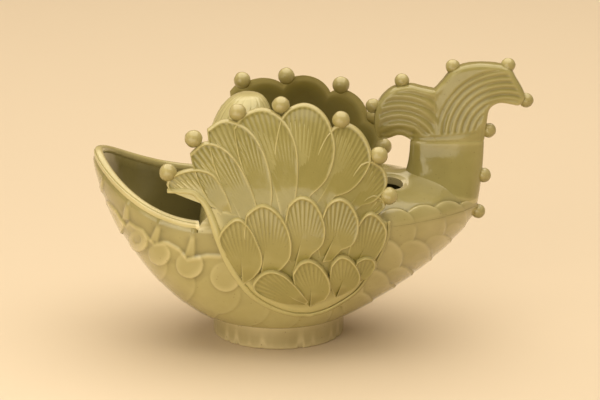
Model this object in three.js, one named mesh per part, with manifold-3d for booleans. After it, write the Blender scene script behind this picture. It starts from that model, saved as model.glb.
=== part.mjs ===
// A small fish-shaped celadon ewer, about as long as a hand, in millimetres with +Z up.
// The fish looks towards -X. Its open mouth is the spout, and its forked tail stands up at +X.
// The potter makes it from separate clay pieces, luted together with slip before glazing and firing:
// a foot ring, a bowl-shaped body, a rolled lip, a cover over the back, a ribbed hood, two moulded
// wings, a tail of three pieces, and small beads of clay along the edges of the wings and the tail.
// JOINT is left between the pieces, where the real vessel has slip and glaze.

import * as THREE from 'three';
import { mergeVertices } from 'three/addons/utils/BufferGeometryUtils.js';
import Module from 'manifold-3d';

const wasm = await Module();
wasm.setup();

// Joints
const JOINT = 0.3;
const WING_SEAT = 0.5;         // slip bed between a wing and the curved body

// Foot ring
const FOOT_HEIGHT = 7;
const FOOT_RADIUS = 21.6;      // at the table
const FOOT_TAPER = 0.3;        // how much narrower the ring is at its top
const FOOT_WALL = 4;

// Body: a bowl on the foot ring, drawn out to a mouth and to a tail
const MOUTH_REACH = 60.8;      // from the foot's centre to the tip of the mouth
const TAIL_REACH = 65.4;       // and to the rear end of the body
const BODY_HALF_WIDTH = 36;
const FRONT_CENTRE = -20;      // where the sides begin to close towards the mouth
const REAR_CENTRE = 2;         // and towards the tail
const MOUTH_POINT = 0.6;       // 0.5 makes the mouth's plan an ellipse, and more makes it pointed
const TAIL_POINT = 0.75;
const BODY_WALL = 3.2;
const SIDE_FULLNESS = 1.62;    // of the bowl's profile: 1 is a straight slope, 2 is an ellipse
const MOUTH_FULLNESS = 1.48;
const TAIL_FULLNESS = 1.3;
const SEAT_DROP = 0.4;         // how far a bead sits out of the clay, as a share of its radius

// Carved scales of the body, seen from the side and from a little above: their centres and radii.
// The same scales stand on both sides.
const CARVING_TILT = 16;       // degrees over the level
const SCALE_LIFT = 0.45;       // of every second scale, and twice as much of those between
const SCALES = [
  [-54.7, 37.2, 5.2], [-45.1, 30.9, 3.4], [-37.9, 26.9, 3.6], [-28.1, 23.4, 4.4], [-16.6, 19.4, 4.9],
  [62, 40.2, 4.2], [55.1, 37.6, 6.4], [46.9, 35.8, 7], [37.3, 34.8, 6.9],
  [58, 32.7, 4.5], [52.1, 27.6, 5.6], [43.6, 25.5, 6], [33.7, 25.5, 6.2],
  [47.9, 20.8, 4.6], [39.3, 17, 5.4], [30.4, 16, 5.6],
];

// Lip
const RIM_HEIGHT = 47.2;       // top of the lip beside the wings
const TIP_RISE = 15.5;         // how much higher the lip is at the tip of the mouth
const TIP_POWER = 2.3;
const LIP_WIDTH = 3;
const LIP_HEIGHT = 3.2;
const LIP_INSET = 2;           // from the body's outside to the middle of the lip
const LIP_FOCUS = -36;         // the lip's sections turn about this point of the mouth

// Cover over the back
const COVER_FRONT = -25.5;
const COVER_CENTRE = 18;
const COVER_RISE = 11.3;
const COVER_WALL = 3;
const COVER_POWER = 2.2;
const FILL_HOLE_RADIUS = 5;
const FILL_HOLE_X = 35.6;
const FILL_HOLE_Y = -9;

// Hood between the wings
const HOOD_X = -12.6;
const HOOD_HALF_LENGTH = 11.8;
const HOOD_HALF_WIDTH = 16;
const HOOD_SINK = 1.2;         // from the top of the lip down to its hidden bottom
const HOOD_HEIGHT = 35.4;
const HOOD_WALL = 2.6;
const HOOD_POWER = 2.5;
const HOOD_LEAN = 3;           // how far its top leans back to the tail

// Tail
const STEM_LENGTH = 23.9;
const STEM_OVERHANG = 1.8;     // of its rear face beyond the body's end, up at the lobes
const STEM_HEIGHT = 21.5;      // over the body's edge
const STEM_THICKNESS = 14;
const STEM_FLARE = 2.5;        // how much wider it grows where it meets the cover
const FLARE_HEIGHT = 5;
const FIN_THICKNESS = 7.2;
const FIN_BEVEL = 1.6;
const FIN_SPLIT = 7.5;         // from the stem's front to the joint between the lobes
const STEM_BEAD_HEIGHT = 9.3;  // of the bead on the stem's rear face, over the body's edge
const BODY_BEAD_DROP = 3;      // of the bead at the body's end, under its edge
const BODY_BEAD_OUT = 0.35;    // from the body's end to the middle of the bead under the stem

// Wings
const WING_SPAN = 49;          // height over the body's edge at which the wings would meet
const WING_SIZE = 1;           // of the wings as drawn below, about their hub
const WING_HUB = [5, 45];
const FAR_FOLD_X = -12;        // in front of this the right wing is curled in, shorter than the left
const FAR_FOLD = 0.42;
const FAR_HEIGHT = 0.94;       // its height over the hub, as a share of the left wing's
const WEB_THICKNESS = 1.2;
const WING_BED_SIZE = 1.08;    // of the place that the carving leaves for a wing
const FEATHER_TILT = 0.9;      // from a feather's free side down to the side that is tucked away
const FEATHER_RIM = 0.45;
const ROLL_RADIUS = 1.1;
const WING_BEAD_RADIUS = 2.6;
const WING_BEAD_LIFT = 1.2;
const TAIL_BEAD_RADIUS = 2.2;

// The feathers of one wing in the wing's side view, in three rows, the upper row lying deepest. Each
// is its root and then its rim, from the side tucked under its neighbour over the tip to the free
// side. A row's feathers reach from bed to lift over the clay under the wing.
const ROWS = [
  {
    bed: 0.4,
    lift: 2.5,
    feathers: [
      [[-15.5, 49], [-22.6, 53.6], [-28, 57.2], [-34.2, 57.8], [-33.4, 62.2], [-24.4, 64.8], [-16.8, 58.6]],
      [[-6.2, 48.6], [-27.8, 69], [-23.6, 72.4], [-18.8, 72], [-10.8, 64.4], [-6.2, 53]],
      [[-2.4, 51.8], [-22.4, 76.2], [-17.6, 78.8], [-12.6, 78.2], [-4.2, 70], [-1.4, 57]],
      [[5.6, 53.4], [-11.4, 80.2], [-5.6, 82], [-0.6, 80.8], [6.2, 71.4], [6.4, 58.6]],
      [[8.6, 54.6], [3.6, 81.8], [8.6, 83.2], [13.2, 81.6], [18.4, 71.7], [15.4, 60.7]],
      [[16.6, 54.3], [18.4, 77.1], [22.4, 77.4], [26.4, 74.9], [29.8, 65.6], [23, 57.1]],
      [[25.4, 51.6], [29.6, 66.2], [33.4, 63.8], [35, 59.7], [30.8, 53.1]],
      [[27, 48.2], [31, 55.5], [34.4, 51.3], [28.8, 48.1]],
    ],
  },
  {
    bed: 0.8,
    lift: 3.6,
    feathers: [
      [[-9.8, 27.2], [-18.8, 43.2], [-16.2, 47.6], [-12.4, 49.8], [-6.2, 42], [-5.2, 32.6]],
      [[-2.4, 30.6], [-10, 51], [-4.2, 54.2], [3, 47.6], [4.2, 36.4]],
      [[8.6, 35], [3.4, 53.8], [8.4, 56.6], [14.4, 50.1], [14.4, 40.5]],
      [[17.6, 36.2], [15.6, 53.5], [20.6, 55.4], [25.8, 48.4], [24, 39.8]],
      [[26.8, 30.9], [26.2, 47.6], [30.8, 49.8], [35, 43], [32, 34.5]],
    ],
  },
  {
    bed: 0.8,
    lift: 4.8,
    feathers: [
      [[9.4, 18.9], [0.8, 19.9], [-8.2, 26.2], [-2.4, 32.4], [5.6, 27.4]],
      [[12.2, 18.8], [4.6, 31.4], [10.6, 35.9], [16.6, 28.6], [15.2, 20.2]],
      [[20.6, 21.1], [17, 33.8], [21.6, 36.5], [26.6, 29.3], [23.8, 22.9]],
      [[26, 25.2], [25.2, 34.3], [30.4, 34.6], [30.4, 28.2]],
    ],
  },
];

// The web that carries them has a rolled edge from the foremost feather round to the rearmost one,
// and its top runs behind the upper row.
const ROLLED_EDGE = [
  [-33, 58.2], [-27.6, 57.6], [-22.4, 53], [-18.6, 42.4], [-12, 27.4], [-1.6, 17.5], [10.4, 14.2],
  [20, 17.5], [29.6, 27.6], [35.2, 40.5], [34.4, 50],
];
const WEB_TOP = [[29, 62], [22, 69], [10, 73], [-3, 73], [-13, 70], [-24, 64]];
const LEFT_BEADS = [
  [-35, 63], [-26.8, 73.6], [-12.8, 81], [1, 83], [20.2, 78.7], [32.4, 67.5], [35.6, 54.5],
];
const RIGHT_BEADS = [
  [-30, 62], [-25, 68], [-12.8, 81], [2.5, 83], [20.9, 79.5], [32.4, 67.5], [35.4, 55.9],
];

// Glazed and bare clay colours
const GLAZE = 0x9c8f52;
const GLAZE_PALE = 0xb9a76c;
const GLAZE_DEEP = 0x8a7d42;
const FOOT_CLAY = 0xb59a60;

const lerp = THREE.MathUtils.lerp;
const point = (x, y, z) => new THREE.Vector3(x, y, z);
const range = (count) => [...Array(count).keys()];

// Closed surface through rings of equal point counts, with a fan over each end, faces outwards.
function skin(rings) {
  const count = rings[0].length;
  const points = rings.flat();
  const first = points.length;
  for (const ring of [rings[0], rings.at(-1)]) {
    points.push(ring.reduce((sum, p) => sum.add(p), point(0, 0, 0)).divideScalar(count));
  }
  const faces = [];
  for (const i of range(count)) {
    const j = (i + 1) % count;
    const end = (rings.length - 1) * count;
    faces.push([first, j, i], [first + 1, end + i, end + j]);
    for (const r of range(rings.length - 1)) {
      const a = r * count + i;
      const b = r * count + j;
      faces.push([a, b, b + count], [a, b + count, a + count]);
    }
  }
  const volume = faces.reduce((sum, [a, b, c]) => {
    return sum + points[a].dot(points[b].clone().cross(points[c]));
  }, 0);
  const index = faces.flatMap(([a, b, c]) => (volume > 0 ? [a, b, c] : [a, c, b]));
  const geometry = new THREE.BufferGeometry();
  geometry.setAttribute('position', new THREE.Float32BufferAttribute(points.flatMap((p) => p.toArray()), 3));
  geometry.setIndex(index);
  return geometry;
}

// The same closed surface as a solid that can be joined and cut.
function solid(geometry) {
  const bare = geometry.clone();
  bare.deleteAttribute('normal');
  bare.deleteAttribute('uv');
  const merged = mergeVertices(bare, 1e-3);
  const triVerts = new Uint32Array(merged.index.array);
  return new wasm.Manifold(new wasm.Mesh({
    numProp: 3,
    vertProperties: new Float32Array(merged.attributes.position.array),
    triVerts,
  }));
}

function geometryOf(shape) {
  const mesh = shape.getMesh();
  const geometry = new THREE.BufferGeometry();
  geometry.setAttribute('position', new THREE.Float32BufferAttribute(mesh.vertProperties, 3));
  geometry.setIndex([...mesh.triVerts]);
  return geometry;
}

const ball = (centre, radius) => {
  const sphere = new THREE.IcosahedronGeometry(radius, 1);
  return sphere.translate(centre.x, centre.y, centre.z);
};

// A piece with a seat pressed into it for each bead.
function seated(shape, beads) {
  return beads.reduce((rest, bead) => rest.subtract(solid(ball(bead.centre, bead.radius + JOINT))), shape);
}

// Half-width of the body's plan at the rim.
function planHalf(x, inset = 0) {
  const half = BODY_HALF_WIDTH - inset;
  if (x > REAR_CENTRE) {
    const share = (x - REAR_CENTRE) / (TAIL_REACH - REAR_CENTRE - inset);
    return half * Math.max(1 - share * share, 0) ** TAIL_POINT;
  }
  if (x > FRONT_CENTRE) return half;
  const share = (FRONT_CENTRE - x) / (MOUTH_REACH + FRONT_CENTRE - inset);
  return half * Math.max(1 - share * share, 0) ** MOUTH_POINT;
}

// The plan's outline runs from 0 at the tail over 1 at the mouth back to 2, in three stretches a side.
const REAR_STRETCH = 0.5;
const SIDE_STRETCH = 0.1;
const FRONT_STRETCH = 1 - REAR_STRETCH - SIDE_STRETCH;

function planPoint(turn, inset = 0) {
  const u = turn <= 1 ? turn : 2 - turn;
  let x = lerp(REAR_CENTRE, FRONT_CENTRE, (u - REAR_STRETCH) / SIDE_STRETCH);
  if (u < REAR_STRETCH) {
    x = REAR_CENTRE + (TAIL_REACH - REAR_CENTRE - inset) * Math.cos((u / REAR_STRETCH) * Math.PI / 2);
  } else if (u > REAR_STRETCH + SIDE_STRETCH) {
    const angle = ((u - REAR_STRETCH - SIDE_STRETCH) / FRONT_STRETCH) * Math.PI / 2;
    x = FRONT_CENTRE - (MOUTH_REACH + FRONT_CENTRE - inset) * Math.sin(angle);
  }
  return new THREE.Vector2(x, planHalf(x, inset) * (turn <= 1 ? 1 : -1));
}

// Where along the outline's front stretch the plan reaches x.
function turnAt(x) {
  const angle = Math.asin((FRONT_CENTRE - x) / (MOUTH_REACH + FRONT_CENTRE));
  return REAR_STRETCH + SIDE_STRETCH + (angle / (Math.PI / 2)) * FRONT_STRETCH;
}

function rimHeight(x) {
  const share = Math.max((FRONT_CENTRE - x) / (MOUTH_REACH + FRONT_CENTRE), 0);
  return RIM_HEIGHT + TIP_RISE * share ** TIP_POWER;
}

const edgeHeight = (x) => rimHeight(x) - LIP_HEIGHT - JOINT;
const SIDE_EDGE = edgeHeight(0);
const BODY_BOTTOM = FOOT_HEIGHT + JOINT;

// Point of the body's wall: up runs from 0 at the foot to 1 at the edge under the lip.
function bodyPoint(turn, up, inset = 0) {
  const rim = planPoint(turn, inset);
  const end = rim.x > 0 ? TAIL_FULLNESS : MOUTH_FULLNESS;
  const fullness = lerp(SIDE_FULLNESS, end, Math.cos(rim.angle()) ** 2);
  const out = (1 - (1 - up) ** fullness) ** (1 / fullness);
  const foot = FOOT_RADIUS - FOOT_TAPER - inset;
  const x = lerp(foot * Math.cos(rim.angle()), rim.x, out);
  const y = lerp(foot * Math.sin(rim.angle()), rim.y, out);
  return point(x, y, lerp(BODY_BOTTOM + inset, edgeHeight(planPoint(turn).x), up));
}

// Half-width of the body's outside at x and z. Over the edge it leans in, as the wings do.
function sideHalf(x, z) {
  const level = Math.min(z, SIDE_EDGE);
  let rear = 0;
  let front = 1;
  let at = point(0, 0, 0);
  for (const _ of range(30)) {
    const turn = (rear + front) / 2;
    const rise = edgeHeight(planPoint(turn).x) - BODY_BOTTOM;
    at = bodyPoint(turn, THREE.MathUtils.clamp((level - BODY_BOTTOM) / rise, 0, 1));
    if (at.x > x) rear = turn;
    else front = turn;
  }
  const over = (z - level) / WING_SPAN;
  return at.y * Math.sqrt(1 - over * over);
}

function footRing() {
  const top = FOOT_RADIUS - FOOT_TAPER;
  const profile = [
    [FOOT_RADIUS - FOOT_WALL, 0], [FOOT_RADIUS, 0], [top, FOOT_HEIGHT], [top - FOOT_WALL, FOOT_HEIGHT],
    [FOOT_RADIUS - FOOT_WALL, 0],
  ];
  const ring = new THREE.LatheGeometry(profile.map(([r, z]) => new THREE.Vector2(r, z)), 48);
  return geometryOf(solid(ring.rotateX(Math.PI / 2)));
}

// The body's outside, grown by lift.
function bodyRings(lift) {
  const sides = 56;
  const levels = 10;
  return range(levels + 1).map((k) => range(sides).map((i) => {
    const up = 1 - Math.cos((k / levels) * Math.PI / 2) ** (2 / SIDE_FULLNESS);
    return bodyPoint((2 * i) / sides, up, -lift);
  }));
}

// A round bar from the vessel's middle out through its left or right side, as a scale's outline.
function scaleCutter([x, z, radius], side) {
  const tilt = side * THREE.MathUtils.degToRad(CARVING_TILT);
  const length = 2 * BODY_HALF_WIDTH;
  const bar = new THREE.CylinderGeometry(radius, radius, length, 16);
  bar.translate(0, (side * length) / 2, 0).rotateX(tilt).translate(x, 0, z);
  return solid(bar);
}

// The body's wall between two depths under its outside.
const bodyShell = (lift, depth) => solid(skin([...bodyRings(lift), ...bodyRings(-depth).reverse()]));

function bodyBowl(beads) {
  const grown = [1, 2].map((step) => bodyShell(step * SCALE_LIFT, BODY_WALL / 2));
  const beds = { [-1]: wingBed(-1), [1]: wingBed(1) };
  const scales = SCALES.flatMap((scale, i) => [-1, 1].map((side) => {
    return grown[i % 2].intersect(scaleCutter(scale, side)).subtract(beds[side]);
  }));
  const carved = scales.reduce((rest, scale) => rest.add(scale), bodyShell(0, BODY_WALL));
  return geometryOf(seated(carved, beads));
}

function mouthLip() {
  const steps = 34;
  const sides = 10;
  const start = turnAt(COVER_FRONT - 2 * JOINT - LIP_WIDTH / 8);
  return skin(range(steps + 1).map((k) => {
    const turn = lerp(start, 2 - start, k / steps);
    const at = planPoint(turn, LIP_INSET);
    const out = at.clone().sub(new THREE.Vector2(LIP_FOCUS, 0)).normalize();
    const z = rimHeight(planPoint(turn).x) - (LIP_HEIGHT - JOINT) / 2;
    return range(sides).map((i) => {
      const angle = (i / sides) * 2 * Math.PI;
      const across = (LIP_WIDTH / 2) * Math.cos(angle);
      return point(at.x + out.x * across, at.y + out.y * across, z + (LIP_HEIGHT / 2) * Math.sin(angle));
    });
  }));
}

// Rings of a dome from its base up to its flat crown.
function domeRings({ reach, x, base, rise, power, steps, sides, lean = 0 }) {
  return range(steps + 1).map((k) => {
    const tilt = (k / steps) * 0.96 * Math.PI / 2;
    const across = Math.cos(tilt) ** (2 / power);
    const up = Math.sin(tilt) ** (2 / power);
    return range(sides).map((i) => {
      const angle = (i / sides) * 2 * Math.PI;
      const r = reach(angle) * across;
      return point(x + lean * up ** 3 + r * Math.cos(angle), r * Math.sin(angle), base + rise * up);
    });
  });
}

// How far the cover's outline lies from its centre, found by halving.
function coverReach(angle, inset) {
  let near = 0;
  let far = TAIL_REACH + BODY_HALF_WIDTH;
  for (const _ of range(30)) {
    const r = (near + far) / 2;
    const x = COVER_CENTRE + r * Math.cos(angle);
    const inside = x > COVER_FRONT + inset && Math.abs(r * Math.sin(angle)) < planHalf(x, inset);
    if (inside) near = r;
    else far = r;
  }
  return near;
}

const coverDome = (inset) => domeRings({
  reach: (angle) => coverReach(angle, inset),
  x: COVER_CENTRE,
  base: SIDE_EDGE + JOINT,
  rise: COVER_RISE - inset,
  power: COVER_POWER,
  steps: 6,
  sides: 44,
});

// The cover's outside, one joint larger: what stands on the cover is cut back to it.
const coverCutter = () => solid(skin(coverDome(-JOINT)));

function backCover() {
  const vault = solid(skin([...coverDome(COVER_WALL).reverse(), ...coverDome(0)]));
  const height = 4 * COVER_RISE;
  const fillHole = new THREE.CylinderGeometry(FILL_HOLE_RADIUS, FILL_HOLE_RADIUS, height, 24);
  fillHole.rotateX(Math.PI / 2).translate(FILL_HOLE_X, FILL_HOLE_Y, SIDE_EDGE);
  const throat = new THREE.CylinderGeometry(1, 1, height, 32).rotateX(Math.PI / 2);
  throat.scale(HOOD_HALF_LENGTH - 2 * HOOD_WALL, HOOD_HALF_WIDTH - 2 * HOOD_WALL, 1);
  throat.translate(HOOD_X, 0, SIDE_EDGE);
  return geometryOf(vault.subtract(solid(fillHole)).subtract(solid(throat)));
}

const hoodDome = (inset) => domeRings({
  reach: (angle) => {
    const across = Math.cos(angle) / (HOOD_HALF_LENGTH - inset);
    const along = Math.sin(angle) / (HOOD_HALF_WIDTH - inset);
    return 1 / Math.hypot(across, along);
  },
  x: HOOD_X,
  base: RIM_HEIGHT - HOOD_SINK,
  rise: HOOD_HEIGHT - inset,
  power: HOOD_POWER,
  steps: 8,
  sides: 36,
  lean: HOOD_LEAN,
});

function hood() {
  const dome = solid(skin([...hoodDome(HOOD_WALL).reverse(), ...hoodDome(0)]));
  return geometryOf(dome.subtract(coverCutter()));
}

const STEM_REAR = TAIL_REACH + STEM_OVERHANG;
const STEM_FRONT = STEM_REAR - STEM_LENGTH;
const STEM_TOP = SIDE_EDGE + STEM_HEIGHT;

// Rear face of the tail stem at height z. It bends in towards the body's end.
const stemRear = (z) => STEM_REAR - STEM_OVERHANG * ((STEM_TOP - z) / STEM_HEIGHT) ** 2;

function tailStem(beads) {
  const steps = 8;
  const sides = 28;
  const bottom = SIDE_EDGE + COVER_WALL;
  const rings = range(steps + 1).map((k) => {
    const z = lerp(bottom, STEM_TOP, k / steps);
    const flare = STEM_FLARE * Math.exp(-Math.max(z - SIDE_EDGE - COVER_RISE / 2, 0) / FLARE_HEIGHT);
    const front = STEM_FRONT - flare;
    const centre = (stemRear(z) + front) / 2;
    const length = (stemRear(z) - front) / 2;
    const thick = lerp(STEM_THICKNESS / 2, FIN_THICKNESS / 2 + 1, k / steps) + flare;
    return range(sides).map((i) => {
      const angle = (i / sides) * 2 * Math.PI;
      return point(centre + length * Math.cos(angle), thick * Math.sin(angle), z);
    });
  });
  return geometryOf(seated(solid(skin(rings)).subtract(coverCutter()), beads));
}

// The lobes' outlines, measured from the stem's front upper corner.
const FIN_BOTTOM = STEM_TOP + JOINT;
const FRONT_LOBE = {
  start: [FIN_SPLIT - JOINT / 2, 0],
  corner: [0, 0],
  edge: [
    [-1.9, 1.1], [-4.1, 1.7], [-6.9, 0.7], [-9.9, 0.4], [-11.7, 3], [-11.9, 8.5], [-10.4, 13.3],
    [-6.3, 17.3], [-0.8, 18.5], [3.7, 17.6], [FIN_SPLIT - JOINT / 2, 16.8],
  ],
};
const REAR_LOBE = {
  start: [STEM_LENGTH, 0],
  corner: [FIN_SPLIT + JOINT / 2, 0],
  edge: [
    [FIN_SPLIT + JOINT / 2, 16.8], [9.9, 19.5], [13.2, 23.4], [18.7, 25.4], [26.2, 25.5], [31.7, 24.1],
    [34.1, 20.5], [36.3, 16.7], [37, 14.1], [35.1, 11.7], [31.7, 12.1], [28.5, 12.4], [25.6, 10.5],
    [24.7, 6], [STEM_LENGTH, 0],
  ],
};

function tailLobe({ start, corner, edge }, beads) {
  const outline = new THREE.Shape().moveTo(...start).lineTo(...corner);
  outline.splineThru(edge.map(([x, z]) => new THREE.Vector2(x, z)));
  const depth = FIN_THICKNESS - 2 * FIN_BEVEL;
  const plate = new THREE.ExtrudeGeometry(outline, {
    depth,
    bevelThickness: FIN_BEVEL,
    bevelSize: FIN_BEVEL,
    bevelOffset: -FIN_BEVEL,
    bevelSegments: 2,
    curveSegments: 2,
  });
  plate.rotateX(Math.PI / 2).translate(STEM_FRONT, depth / 2, FIN_BOTTOM);
  return geometryOf(seated(solid(plate), beads));
}

// Point of a wing from its side view; side is -1 for the left wing and 1 for the right one.
function wingPoint(x, z, lift, side) {
  const [hubX, hubZ] = WING_HUB;
  let at = hubX + (x - hubX) * WING_SIZE;
  let height = hubZ + (z - hubZ) * WING_SIZE;
  if (side > 0) {
    if (at < FAR_FOLD_X) at = FAR_FOLD_X + (at - FAR_FOLD_X) * FAR_FOLD;
    if (height > hubZ) height = hubZ + (height - hubZ) * FAR_HEIGHT;
  }
  return point(at, side * (sideHalf(at, height) + WING_SEAT + lift), height);
}

const flat = ([x, z]) => new THREE.Vector2(x, z);

// Ring of a plate's outline, drawn in towards its middle to a share of its size.
const plateRing = (outline, middle, share, side, lift) => outline.map((p, i) => {
  const at = middle.clone().lerp(p, share);
  return wingPoint(at.x, at.y, lift(i / (outline.length - 1)), side);
});

// A dished plate with a raised rim, that tilts up from its tucked side to its free side.
function feather(places, bed, top, side) {
  const outline = new THREE.SplineCurve([...places, places[0]].map(flat)).getSpacedPoints(13).slice(1);
  const middle = places.map(flat).reduce((sum, p) => sum.add(p)).divideScalar(places.length);
  const face = (share) => top - FEATHER_RIM - FEATHER_TILT * (1 - share);
  const ring = (share, lift) => plateRing(outline, middle, share, side, lift);
  return solid(skin([
    ring(0.37, face), ring(0.74, face), ring(0.9, (share) => face(share) + FEATHER_RIM), ring(1, face),
    ring(1, () => bed), ring(0.5, () => bed),
  ]));
}

// A plate that follows the body under a wing, from one height over the slip bed to another.
function wingPlate(side, size, low, high) {
  const corners = [...ROLLED_EDGE, ...WEB_TOP, ROLLED_EDGE[0]];
  const outline = new THREE.SplineCurve(corners.map(flat)).getSpacedPoints(40).slice(1);
  const shares = [0.15, 0.33, 0.5, 0.67, 0.84, 1].map((share) => share * size);
  const rings = (lift) => shares.map((share) => plateRing(outline, flat(WING_HUB), share, side, () => lift));
  return solid(skin([...rings(high), ...rings(low).reverse()]));
}

const web = (side) => wingPlate(side, 1, 0, WEB_THICKNESS);
const wingBed = (side) => wingPlate(side, WING_BED_SIZE, -JOINT, 3 * WEB_THICKNESS);

// The web's edge as a round roll.
function roll(side) {
  const line = new THREE.SplineCurve(ROLLED_EDGE.map(flat));
  const steps = 28;
  return solid(skin(range(steps + 1).map((k) => {
    const at = line.getPointAt(k / steps);
    const way = line.getTangentAt(k / steps);
    return range(6).map((i) => {
      const angle = (i / 6) * 2 * Math.PI;
      const off = ROLL_RADIUS * Math.cos(angle);
      return wingPoint(at.x - way.y * off, at.y + way.x * off, ROLL_RADIUS * (1 + Math.sin(angle)), side);
    });
  })));
}

// A pressing without its sealed pockets and loose crumbs, which clay pressed into a mould hasn't.
const CRUMB = 1;               // cubic millimetres
const FINEST = 0.02;           // smaller steps between its faces are flattened
function pressed(shape) {
  const shells = solid(geometryOf(shape.simplify(FINEST))).decompose();
  return wasm.Manifold.compose(shells.filter((shell) => shell.volume() > CRUMB));
}

function wing(side, beads) {
  const feathers = ROWS.flatMap(({ bed, lift, feathers: row }) => {
    return row.map((places) => feather(places, bed, lift, side));
  });
  const pressing = feathers.reduce((rest, next) => rest.add(next), web(side).add(roll(side)));
  return geometryOf(pressed(seated(pressing, beads)));
}

const wingBeads = (places, side) => places.map(([x, z]) => {
  return { centre: wingPoint(x, z, WING_BEAD_LIFT, side), radius: WING_BEAD_RADIUS };
});

const tailBead = (x, z) => ({ centre: point(x, 0, z), radius: TAIL_BEAD_RADIUS });
const lobeBead = (x, z) => tailBead(STEM_FRONT + x, FIN_BOTTOM + z);
const frontLobeBeads = [lobeBead(-12.7, 11.2), lobeBead(-3.3, 19.7)];
const rearLobeBeads = [
  lobeBead(13.4, 24.5), lobeBead(31.5, 24.9), lobeBead(37.6, 13.1), lobeBead(25.7, 2.9),
];
const stemBeadZ = SIDE_EDGE + STEM_BEAD_HEIGHT;
const stemBead = tailBead(stemRear(stemBeadZ) + SEAT_DROP * TAIL_BEAD_RADIUS, stemBeadZ);
const bodyBead = tailBead(TAIL_REACH + BODY_BEAD_OUT, SIDE_EDGE - BODY_BEAD_DROP);

const ewer = new THREE.Group();

function add(name, geometry, color, roughness = 0.25) {
  const material = new THREE.MeshStandardMaterial({ color, roughness, metalness: 0 });
  const mesh = new THREE.Mesh(geometry, material);
  mesh.name = name;
  ewer.add(mesh);
}

const addBeads = (name, beads) => beads.forEach((bead, i) => {
  add(`${name}_${i + 1}`, ball(bead.centre, bead.radius), GLAZE_PALE);
});

add('foot_ring', footRing(), FOOT_CLAY, 0.6);
add('body_bowl', bodyBowl([bodyBead]), GLAZE_PALE);
add('mouth_lip', mouthLip(), GLAZE_PALE);
add('back_cover', backCover(), GLAZE_PALE);
add('hood', hood(), GLAZE_PALE);
add('tail_stem', tailStem([stemBead]), GLAZE_DEEP);
add('tail_lobe_front', tailLobe(FRONT_LOBE, frontLobeBeads), GLAZE);
add('tail_lobe_rear', tailLobe(REAR_LOBE, rearLobeBeads), GLAZE);
addBeads('tail_bead', [...frontLobeBeads, ...rearLobeBeads, stemBead, bodyBead]);
for (const [name, side, places] of [['wing_left', -1, LEFT_BEADS], ['wing_right', 1, RIGHT_BEADS]]) {
  const beads = wingBeads(places, side);
  add(name, wing(side, beads), GLAZE);
  addBeads(`${name}_bead`, beads);
}

// The origin is on the table, under the middle of the whole vessel.
const box = new THREE.Box3().setFromObject(ewer);
for (const mesh of ewer.children) {
  mesh.position.x = -(box.min.x + box.max.x) / 2;
  mesh.position.y = -(box.min.y + box.max.y) / 2;
}

export default ewer;
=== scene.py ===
# A small fish-shaped celadon ewer with a lip, a hood, two feathered wings and a forked tail.
import math

import bpy
import numpy as np
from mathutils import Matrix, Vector


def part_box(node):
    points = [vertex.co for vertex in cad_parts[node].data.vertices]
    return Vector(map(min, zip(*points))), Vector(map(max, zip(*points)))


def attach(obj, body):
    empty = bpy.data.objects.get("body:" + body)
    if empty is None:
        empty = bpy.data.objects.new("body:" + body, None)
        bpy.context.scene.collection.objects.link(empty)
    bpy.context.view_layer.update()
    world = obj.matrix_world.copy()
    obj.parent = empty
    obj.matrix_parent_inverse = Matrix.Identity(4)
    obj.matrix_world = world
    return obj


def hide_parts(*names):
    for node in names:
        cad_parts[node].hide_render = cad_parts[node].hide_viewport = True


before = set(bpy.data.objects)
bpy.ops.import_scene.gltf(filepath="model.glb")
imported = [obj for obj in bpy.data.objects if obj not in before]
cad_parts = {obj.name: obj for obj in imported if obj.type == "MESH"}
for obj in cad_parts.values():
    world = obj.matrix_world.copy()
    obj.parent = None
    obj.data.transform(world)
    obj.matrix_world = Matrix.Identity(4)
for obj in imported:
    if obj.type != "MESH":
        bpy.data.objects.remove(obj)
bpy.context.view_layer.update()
bpy.ops.object.select_all(action="DESELECT")


# Camera
# The photograph looks at the vessel's left side from a little above, through a long lens. The
# frame is in metres, and the sizes below are millimetres from the foot's centre.
MM = 0.001
foot_low, foot_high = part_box("foot_ring")
FOOT_X = (foot_low.x + foot_high.x) / 2
VIEW_HEIGHT = math.radians(16)
VIEW_DISTANCE = 1000 * MM
AIM = Vector((FOOT_X + 7.1 * MM, 0, 44.7 * MM))

back_off = Vector((0, -math.cos(VIEW_HEIGHT), math.sin(VIEW_HEIGHT))) * VIEW_DISTANCE
bpy.ops.object.camera_add(location=AIM + back_off, rotation=(math.pi / 2 - VIEW_HEIGHT, 0, 0))
camera = bpy.context.object
camera.name = "camera"
camera.data.sensor_width = 36
camera.data.lens = 182.6
bpy.context.scene.camera = camera
bpy.context.scene.view_settings.view_transform = "Standard"


# Floor, wall and light
# A pale matt plinth runs back to a warm pale wall. A wide soft light hangs above and behind the
# vessel, a weaker one stands in front of it, and a low one is the shine of the lit plinth.
def plain_surface(name, colour, roughness):
    material = bpy.data.materials.new(name)
    material.use_nodes = True
    shader = material.node_tree.nodes["Principled BSDF"]
    shader.inputs["Base Color"].default_value = (*colour, 1)
    shader.inputs["Roughness"].default_value = roughness
    return material


def stage_plane(name, place, turn, size, material):
    bpy.ops.mesh.primitive_plane_add(size=1, location=place, rotation=turn)
    plane = bpy.context.object
    plane.name = name
    plane.scale = (*size, 1)
    plane.data.materials.append(material)


def soft_light(name, place, size, power, colour):
    bpy.ops.object.light_add(type="AREA", location=place)
    lamp = bpy.context.object
    lamp.name = name
    lamp.data.shape = "RECTANGLE"
    lamp.data.size, lamp.data.size_y = size
    lamp.data.energy = power
    lamp.data.color = colour
    lamp.rotation_euler = (AIM - Vector(place)).to_track_quat("-Z", "Y").to_euler()


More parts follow.
